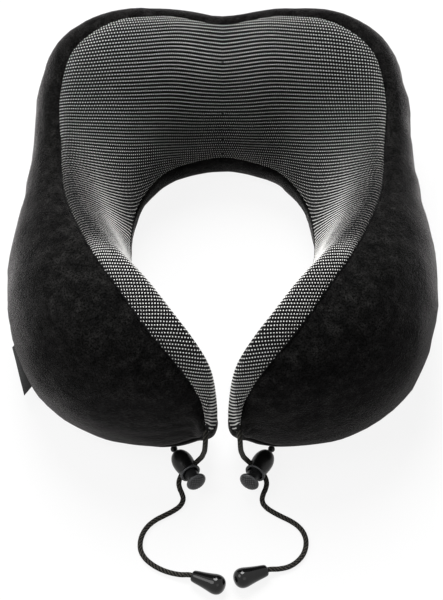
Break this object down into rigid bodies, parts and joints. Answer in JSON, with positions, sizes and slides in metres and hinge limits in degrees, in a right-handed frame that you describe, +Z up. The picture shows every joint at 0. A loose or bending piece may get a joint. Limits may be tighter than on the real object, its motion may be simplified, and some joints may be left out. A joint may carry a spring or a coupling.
{
  "type": "travel neck pillow",
  "caption": "U-shaped foam travel neck pillow in a dotted knit and plush cover, with raised side lobes, a zip at the back and two short cords with spring locks and bell ends.",
  "frame": {"origin": "centre of the footprint on the surface that the pillow lies on, cords left out", "axes": "+Z up from the flat base, -Y towards the opening between the arms, +X to the right seen from the opening"},
  "size_m": [0.277, 0.3821, 0.137],
  "materials": {
    "foam": "open cell memory foam, matte",
    "knit": "black knit with rows of raised pale dots",
    "plush": "short charcoal black plush pile",
    "ribbon": "woven black tape",
    "nylon": "black nylon coil",
    "dark_metal": "black nickel",
    "braid": "round black braid with grey flecks",
    "lock_plastic": "satin black moulded plastic",
    "button_plastic": "fine textured black plastic",
    "spring_steel": "plain spring wire",
    "gloss_plastic": "glossy near-black"
  },
  "bodies": {
    "pillow": {"foam_core": "foam", "top_panel": "knit", "outer_panel": "plush", "base_panel": "plush", "side_label": "ribbon", "zip_tape_upper": "ribbon", "zip_tape_lower": "ribbon", "zip_coil": "nylon", "zip_stop_left": "dark_metal", "zip_stop_right": "dark_metal", "drawcord_left": "braid", "drawcord_right": "braid", "lock_barrel_left": "lock_plastic", "lock_barrel_right": "lock_plastic", "lock_spring_left": "spring_steel", "lock_spring_right": "spring_steel", "cord_end_left": "gloss_plastic", "cord_end_right": "gloss_plastic"},
    "plunger_left": {"lock_plunger_left": "button_plastic"},
    "plunger_right": {"lock_plunger_right": "button_plastic"},
    "slider": {"zip_slider": "dark_metal"},
    "pull": {"zip_pull": "dark_metal"}
  },
  "joints": [
    {"name": "lock_press_left", "type": "slide", "parent": "pillow", "child": "plunger_left", "axis": [-0.4596, 0.8442, -0.2756], "range_m": [0, 0.004], "stiffness_N_per_m": 300, "springref_m": -0.004, "deforming": ["lock_spring_left"]},
    {"name": "lock_press_right", "type": "slide", "parent": "pillow", "child": "plunger_right", "axis": [0.4596, 0.8442, -0.2756], "range_m": [0, 0.004], "stiffness_N_per_m": 300, "springref_m": -0.004, "deforming": ["lock_spring_right"]},
    {"name": "zip_slide", "type": "slide", "parent": "pillow", "child": "slider", "axis": [-1, 0, 0], "range_m": [0, 0.1]},
    {"name": "zip_pull_hinge", "type": "hinge", "parent": "slider", "child": "pull", "pos_m": [0.05, 0.1442, 0.025], "axis": [0, 0, -1], "range_deg": [0, 170]}
  ]
}
